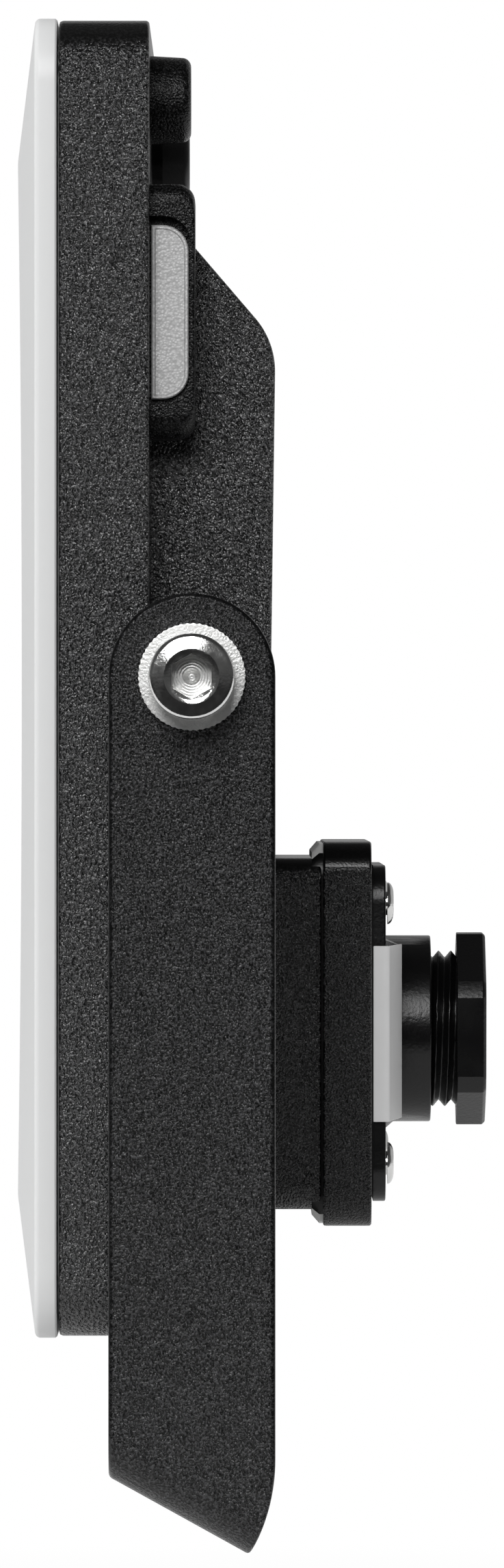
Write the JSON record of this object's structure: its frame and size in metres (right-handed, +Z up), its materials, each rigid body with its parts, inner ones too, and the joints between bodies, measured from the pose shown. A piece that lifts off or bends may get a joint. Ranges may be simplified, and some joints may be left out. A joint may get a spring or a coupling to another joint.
{
  "type": "led flood light",
  "caption": "Flat LED flood light with a frosted lens, ribbed cast housing, rear terminal box with cable gland, and a tilting steel yoke.",
  "frame": {"origin": "middle of the yoke base's underside, at its centre fixing hole", "axes": "X across the light, along the tilt axis; Y from the lens to the rear; Z up, along the yoke's arms"},
  "size_m": [0.2816, 0.074, 0.2341],
  "materials": {
    "yoke_coat": "fine black textured powder coat on sheet steel",
    "powder_coat": "coarse black textured powder coat on die-cast aluminium",
    "frosted_lens": "frosted opal polycarbonate",
    "silicone": "pale silicone",
    "white_board": "white lacquer on aluminium",
    "green_board": "lacquered circuit board",
    "ferrite": "dark ferrite",
    "capacitor_can": "sleeved aluminium can",
    "ivory_plastic": "moulded ivory plastic",
    "black_plastic": "semi-gloss black moulded plastic",
    "rubber": "black rubber",
    "zinc": "bright zinc plating",
    "silver_foil": "satin silver, bare",
    "pale_label": "pale grey label, bare",
    "brown_lead": "brown insulation",
    "blue_lead": "blue insulation",
    "green_lead": "green insulation",
    "red_lead": "red insulation",
    "black_lead": "black insulation"
  },
  "bodies": {
    "yoke": {"yoke_bracket": "yoke_coat"},
    "head": {"main_housing": "powder_coat", "front_lens": "frosted_lens", "lens_seal": "silicone", "led_board": "white_board", "led_board_screw_1": "zinc", "led_board_screw_2": "zinc", "led_board_screw_3": "zinc", "led_board_screw_4": "zinc", "reflector_frame": "white_board", "driver_board": "green_board", "driver_transformer": "ferrite", "driver_input_capacitor": "capacitor_can", "driver_output_capacitor": "capacitor_can", "driver_choke": "ferrite", "driver_input_header": "ivory_plastic", "driver_output_header": "ivory_plastic", "driver_screw_1": "zinc", "driver_screw_2": "zinc", "led_lead_plus": "red_lead", "led_lead_minus": "black_lead", "vent_plug": "black_plastic", "vent_seal": "rubber", "rating_plate": "silver_foil", "terminal_box_base": "powder_coat", "terminal_box_seal": "black_plastic", "terminal_box_cover": "powder_coat", "box_screw_left": "zinc", "box_screw_right": "zinc", "cover_screw_1": "zinc", "cover_screw_2": "zinc", "cover_screw_3": "zinc", "cover_screw_4": "zinc", "gland_plate": "black_plastic", "gland_label": "pale_label", "gland_grommet": "rubber", "terminal_block": "ivory_plastic", "earth_terminal": "zinc", "lead_bush": "rubber", "supply_lead_live": "brown_lead", "supply_lead_neutral": "blue_lead", "supply_lead_earth": "green_lead", "lock_washer_left": "zinc", "lock_washer_right": "zinc", "pivot_bolt_left": "zinc", "pivot_bolt_right": "zinc"},
    "thrust_ring": {"gland_thrust_ring": "ivory_plastic"},
    "nut": {"gland_nut": "black_plastic"}
  },
  "joints": [
    {"name": "head_tilt", "type": "hinge", "parent": "yoke", "child": "head", "pos_m": [0, 0.0021, 0.1272], "axis": [1, 0, 0], "range_deg": [-180, 90]},
    {"name": "gland_press", "type": "slide", "parent": "head", "child": "thrust_ring", "axis": [0, -1, 0], "range_m": [0, 0.002]},
    {"name": "gland_nut_turn", "type": "hinge", "parent": "thrust_ring", "child": "nut", "pos_m": [0, 0.0468, 0.0712], "axis": [0, -1, 0], "range_deg": [0, 360]}
  ],
  "couplings": [
    {"joint": "gland_press", "follows": "gland_nut_turn", "m_per_rad": 0.000318}
  ]
}
